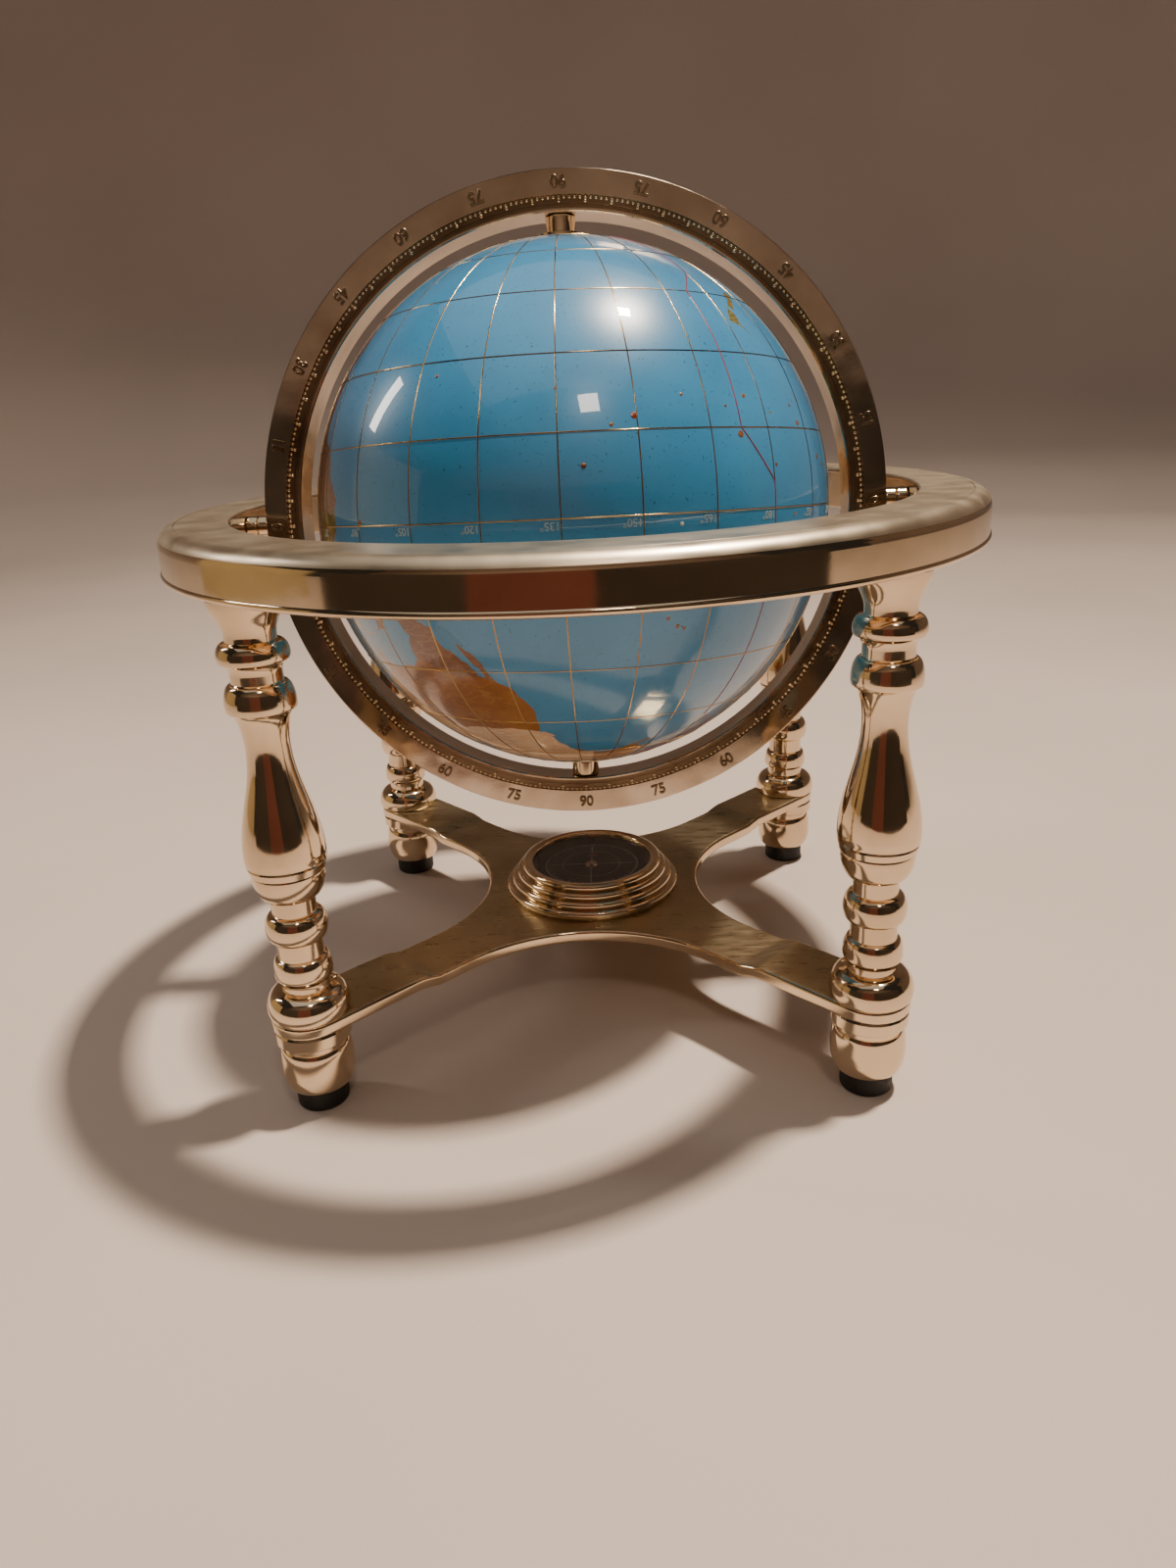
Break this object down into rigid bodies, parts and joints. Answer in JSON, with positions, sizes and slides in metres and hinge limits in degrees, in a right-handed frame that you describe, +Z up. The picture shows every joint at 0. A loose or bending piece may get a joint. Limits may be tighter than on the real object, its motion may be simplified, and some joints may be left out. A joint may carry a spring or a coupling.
{
  "type": "desktop globe on stand",
  "caption": "Desktop stone globe turning on its poles inside a swinging graduated meridian ring, held by a horizon ring on four turned legs, with a compass on the cross-shaped base.",
  "frame": {"origin": "on the floor, straight below the globe's centre", "axes": "+Z up; +X to the right and +Y to the back as seen from the front, with the meridian ring's side pivots along X"},
  "size_m": [0.2374, 0.2374, 0.2431],
  "materials": {
    "polished_gold": "polished champagne gold plate, with fine scratches and a slight pink cast",
    "hazed_gold": "gold plate, hazed and faintly brushed on top, polished on its edges",
    "antique_brass": "darkened cast brass, polished on raised beads and figures",
    "plain_brass": "machined, unplated",
    "plain_steel": "zinc-plated fastener",
    "rubber_pad": "matte black",
    "black_dial": "black, with pale printed ring and lines",
    "clear_glass": "clear, polished",
    "inlaid_stone": "turquoise-blue composite ocean with inlaid stone land and gold wires, under a clear gloss coat",
    "cast_core": "cast resin, hidden"
  },
  "bodies": {
    "stand": {"horizon_face": "polished_gold", "horizon_rim": "polished_gold", "horizon_band": "polished_gold", "base_plate": "hazed_gold", "tie_washers": "plain_steel", "tie_nuts": "plain_steel", "ring_boss_back_right": "plain_brass", "ring_boss_back_left": "plain_brass", "ring_boss_front_left": "plain_brass", "ring_boss_front_right": "plain_brass", "leg_back_right": "polished_gold", "leg_back_left": "polished_gold", "leg_front_left": "polished_gold", "leg_front_right": "polished_gold", "tie_rod_back_right": "plain_steel", "tie_rod_back_left": "plain_steel", "tie_rod_front_left": "plain_steel", "tie_rod_front_right": "plain_steel", "foot_back_right": "polished_gold", "foot_back_left": "polished_gold", "foot_front_left": "polished_gold", "foot_front_right": "polished_gold", "foot_pad_back_right": "rubber_pad", "foot_pad_back_left": "rubber_pad", "foot_pad_front_left": "rubber_pad", "foot_pad_front_right": "rubber_pad", "pivot_screw_right": "plain_steel", "pivot_screw_left": "plain_steel", "pivot_sleeve_right": "polished_gold", "pivot_sleeve_left": "polished_gold", "compass_cup": "plain_brass", "compass_bezel": "polished_gold", "compass_lens": "clear_glass", "compass_dial": "black_dial", "compass_pivot": "plain_brass", "compass_screw": "plain_steel"},
    "meridian": {"meridian_ring": "antique_brass", "pole_pin_south": "plain_steel", "pole_pin_north": "plain_steel", "pole_spacer_south": "polished_gold", "pole_spacer_north": "polished_gold"},
    "globe": {"globe_skin": "inlaid_stone", "pole_bush_south": "polished_gold", "pole_bush_north": "polished_gold", "globe_core_south": "cast_core", "globe_core_north": "cast_core"},
    "card": {"compass_card": "black_dial", "card_cap": "polished_gold", "card_magnets": "plain_steel"}
  },
  "joints": [
    {"name": "meridian_swing", "type": "hinge", "parent": "stand", "child": "meridian", "pos_m": [0, 0, 0.151], "axis": [1, 0, 0], "continuous": true},
    {"name": "globe_spin", "type": "hinge", "parent": "meridian", "child": "globe", "pos_m": [0, 0, 0.151], "axis": [0, 0.0958, 0.9954], "continuous": true},
    {"name": "card_turn", "type": "hinge", "parent": "stand", "child": "card", "pos_m": [0, 0, 0.0329], "axis": [0, 0, 1], "continuous": true}
  ]
}
